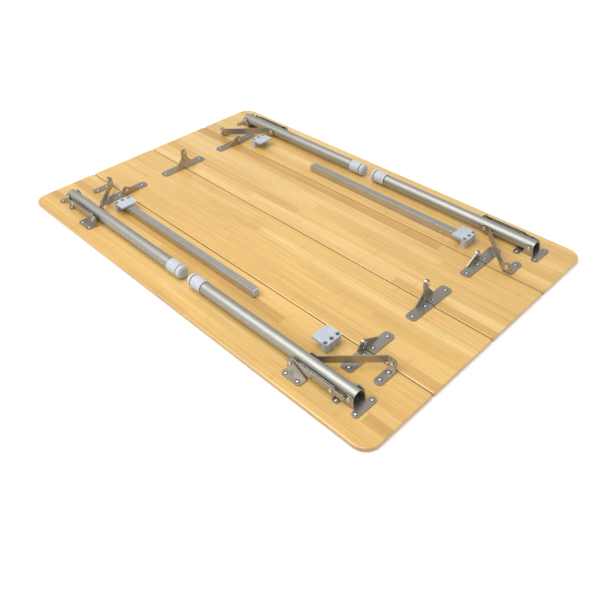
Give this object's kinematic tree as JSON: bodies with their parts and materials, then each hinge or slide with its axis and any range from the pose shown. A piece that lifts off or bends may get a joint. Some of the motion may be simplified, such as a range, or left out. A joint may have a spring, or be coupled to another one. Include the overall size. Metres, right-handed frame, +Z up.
{
  "type": "folding table",
  "caption": "Low folding camp table, face down and flat: hinged bamboo panels, folded telescopic legs with braces, and swinging locking bars.",
  "frame": {"origin": "middle of the table top's face, which is the lowest plane of the row as it lies face down", "axes": "+X along the table, +Y across it towards the panels named back, +Z up, away from the table top's face"},
  "size_m": [1, 0.655, 0.0597],
  "materials": {
    "bamboo": "satin laminated bamboo",
    "tube": "satin anodised",
    "foot_tube": "satin",
    "steel": "nickel plated",
    "plastic": "fine matte"
  },
  "bodies": {
    "front_inner_panel": {"front_inner_panel": "bamboo", "front_left_hinge_inner_leaf": "steel", "front_right_hinge_inner_leaf": "steel", "middle_left_hinge_front_leaf": "steel", "middle_right_hinge_front_leaf": "steel"},
    "back_inner_panel": {"back_inner_panel": "bamboo", "back_left_hinge_inner_leaf": "steel", "back_right_hinge_inner_leaf": "steel", "middle_left_hinge_back_leaf": "steel", "middle_right_hinge_back_leaf": "steel"},
    "front_outer_panel": {"front_outer_panel": "bamboo", "front_bar_pivot_block": "plastic", "front_catch_block": "plastic", "front_left_hinge_outer_leaf": "steel", "front_left_leg_clevis": "steel", "front_left_lock_bracket": "steel", "front_left_strut_bracket": "steel", "front_right_hinge_outer_leaf": "steel", "front_right_leg_clevis": "steel", "front_right_lock_bracket": "steel", "front_right_strut_bracket": "steel"},
    "front_bar": {"front_bar": "tube"},
    "back_outer_panel": {"back_outer_panel": "bamboo", "back_bar_pivot_block": "plastic", "back_catch_block": "plastic", "back_left_hinge_outer_leaf": "steel", "back_left_leg_clevis": "steel", "back_left_lock_bracket": "steel", "back_left_strut_bracket": "steel", "back_right_hinge_outer_leaf": "steel", "back_right_leg_clevis": "steel", "back_right_lock_bracket": "steel", "back_right_strut_bracket": "steel"},
    "back_bar": {"back_bar": "tube"},
    "front_left_leg": {"front_left_outer_tube": "tube", "front_left_strut": "steel"},
    "front_left_handle_link": {"front_left_lock_handle_link": "steel"},
    "front_left_leg_link": {"front_left_lock_leg_link": "steel"},
    "front_left_collar": {"front_left_collar": "plastic"},
    "front_left_foot_tube": {"front_left_foot_tube": "foot_tube"},
    "front_right_leg": {"front_right_outer_tube": "tube", "front_right_strut": "steel"},
    "front_right_handle_link": {"front_right_lock_handle_link": "steel"},
    "front_right_leg_link": {"front_right_lock_leg_link": "steel"},
    "front_right_collar": {"front_right_collar": "plastic"},
    "front_right_foot_tube": {"front_right_foot_tube": "foot_tube"},
    "back_left_leg": {"back_left_outer_tube": "tube", "back_left_strut": "steel"},
    "back_left_handle_link": {"back_left_lock_handle_link": "steel"},
    "back_left_leg_link": {"back_left_lock_leg_link": "steel"},
    "back_left_collar": {"back_left_collar": "plastic"},
    "back_left_foot_tube": {"back_left_foot_tube": "foot_tube"},
    "back_right_leg": {"back_right_outer_tube": "tube", "back_right_strut": "steel"},
    "back_right_handle_link": {"back_right_lock_handle_link": "steel"},
    "back_right_leg_link": {"back_right_lock_leg_link": "steel"},
    "back_right_collar": {"back_right_collar": "plastic"},
    "back_right_foot_tube": {"back_right_foot_tube": "foot_tube"}
  },
  "joints": [
    {"name": "middle_fold", "type": "hinge", "parent": "front_inner_panel", "child": "back_inner_panel", "pos_m": [0, 0, 0.053], "axis": [1, 0, 0], "range_deg": [0, 180]},
    {"name": "front_fold", "type": "hinge", "parent": "front_inner_panel", "child": "front_outer_panel", "pos_m": [0, -0.1685, 0.025], "axis": [-1, 0, 0], "range_deg": [0, 180]},
    {"name": "back_fold", "type": "hinge", "parent": "back_inner_panel", "child": "back_outer_panel", "pos_m": [0, 0.1685, 0.025], "axis": [1, 0, 0], "range_deg": [0, 180]},
    {"name": "front_bar_swing", "type": "hinge", "parent": "front_outer_panel", "child": "front_bar", "pos_m": [-0.3, -0.2025, 0.01], "axis": [0, 0, -1], "range_deg": [-90, 0]},
    {"name": "back_bar_swing", "type": "hinge", "parent": "back_outer_panel", "child": "back_bar", "pos_m": [0.3, 0.2025, 0.01], "axis": [0, 0, -1], "range_deg": [-90, 0]},
    {"name": "front_left_leg_fold", "type": "hinge", "parent": "front_outer_panel", "child": "front_left_leg", "pos_m": [-0.42, -0.264, 0.026], "axis": [0, 1, 0], "range_deg": [-90, 0]},
    {"name": "front_left_handle_link_turn", "type": "hinge", "parent": "front_outer_panel", "child": "front_left_handle_link", "pos_m": [-0.301, -0.264, 0.026], "axis": [0, -1, 0], "range_deg": [-45, 0]},
    {"name": "front_left_leg_link_turn", "type": "hinge", "parent": "front_left_leg", "child": "front_left_leg_link", "pos_m": [-0.319, -0.264, 0.026], "axis": [0, 1, 0], "range_deg": [-55, 0]},
    {"name": "front_left_telescope", "type": "slide", "parent": "front_left_leg", "child": "front_left_foot_tube", "axis": [-1, 0, 0], "range_m": [-0.205, 0]},
    {"name": "front_left_collar_twist", "type": "hinge", "parent": "front_left_leg", "child": "front_left_collar", "pos_m": [-0.053, -0.264, 0.026], "axis": [-1, 0, 0], "range_deg": [0, 90]},
    {"name": "front_right_leg_fold", "type": "hinge", "parent": "front_outer_panel", "child": "front_right_leg", "pos_m": [0.42, -0.264, 0.026], "axis": [0, -1, 0], "range_deg": [-90, 0]},
    {"name": "front_right_handle_link_turn", "type": "hinge", "parent": "front_outer_panel", "child": "front_right_handle_link", "pos_m": [0.301, -0.264, 0.026], "axis": [0, 1, 0], "range_deg": [-45, 0]},
    {"name": "front_right_leg_link_turn", "type": "hinge", "parent": "front_right_leg", "child": "front_right_leg_link", "pos_m": [0.319, -0.264, 0.026], "axis": [0, -1, 0], "range_deg": [-55, 0]},
    {"name": "front_right_telescope", "type": "slide", "parent": "front_right_leg", "child": "front_right_foot_tube", "axis": [1, 0, 0], "range_m": [-0.205, 0]},
    {"name": "front_right_collar_twist", "type": "hinge", "parent": "front_right_leg", "child": "front_right_collar", "pos_m": [0.053, -0.264, 0.026], "axis": [1, 0, 0], "range_deg": [0, 90]},
    {"name": "back_left_leg_fold", "type": "hinge", "parent": "back_outer_panel", "child": "back_left_leg", "pos_m": [-0.42, 0.264, 0.026], "axis": [0, 1, 0], "range_deg": [-90, 0]},
    {"name": "back_left_handle_link_turn", "type": "hinge", "parent": "back_outer_panel", "child": "back_left_handle_link", "pos_m": [-0.301, 0.264, 0.026], "axis": [0, -1, 0], "range_deg": [-45, 0]},
    {"name": "back_left_leg_link_turn", "type": "hinge", "parent": "back_left_leg", "child": "back_left_leg_link", "pos_m": [-0.319, 0.264, 0.026], "axis": [0, 1, 0], "range_deg": [-55, 0]},
    {"name": "back_left_telescope", "type": "slide", "parent": "back_left_leg", "child": "back_left_foot_tube", "axis": [-1, 0, 0], "range_m": [-0.205, 0]},
    {"name": "back_left_collar_twist", "type": "hinge", "parent": "back_left_leg", "child": "back_left_collar", "pos_m": [-0.053, 0.264, 0.026], "axis": [-1, 0, 0], "range_deg": [0, 90]},
    {"name": "back_right_leg_fold", "type": "hinge", "parent": "back_outer_panel", "child": "back_right_leg", "pos_m": [0.42, 0.264, 0.026], "axis": [0, -1, 0], "range_deg": [-90, 0]},
    {"name": "back_right_handle_link_turn", "type": "hinge", "parent": "back_outer_panel", "child": "back_right_handle_link", "pos_m": [0.301, 0.264, 0.026], "axis": [0, 1, 0], "range_deg": [-45, 0]},
    {"name": "back_right_leg_link_turn", "type": "hinge", "parent": "back_right_leg", "child": "back_right_leg_link", "pos_m": [0.319, 0.264, 0.026], "axis": [0, -1, 0], "range_deg": [-55, 0]},
    {"name": "back_right_telescope", "type": "slide", "parent": "back_right_leg", "child": "back_right_foot_tube", "axis": [1, 0, 0], "range_m": [-0.205, 0]},
    {"name": "back_right_collar_twist", "type": "hinge", "parent": "back_right_leg", "child": "back_right_collar", "pos_m": [0.053, 0.264, 0.026], "axis": [1, 0, 0], "range_deg": [0, 90]}
  ],
  "couplings": [
    {"joint": "front_left_handle_link_turn", "follows": "front_left_leg_fold", "ratio": 0.44803},
    {"joint": "front_left_leg_link_turn", "follows": "front_left_leg_fold", "ratio": 0.55197},
    {"joint": "front_left_telescope", "follows": "front_left_leg_fold", "m_per_rad": 0.12732},
    {"joint": "front_right_handle_link_turn", "follows": "front_right_leg_fold", "ratio": 0.44803},
    {"joint": "front_right_leg_link_turn", "follows": "front_right_leg_fold", "ratio": 0.55197},
    {"joint": "front_right_telescope", "follows": "front_right_leg_fold", "m_per_rad": 0.12732},
    {"joint": "back_left_handle_link_turn", "follows": "back_left_leg_fold", "ratio": 0.44803},
    {"joint": "back_left_leg_link_turn", "follows": "back_left_leg_fold", "ratio": 0.55197},
    {"joint": "back_left_telescope", "follows": "back_left_leg_fold", "m_per_rad": 0.12732},
    {"joint": "back_right_handle_link_turn", "follows": "back_right_leg_fold", "ratio": 0.44803},
    {"joint": "back_right_leg_link_turn", "follows": "back_right_leg_fold", "ratio": 0.55197},
    {"joint": "back_right_telescope", "follows": "back_right_leg_fold", "m_per_rad": 0.12732}
  ]
}
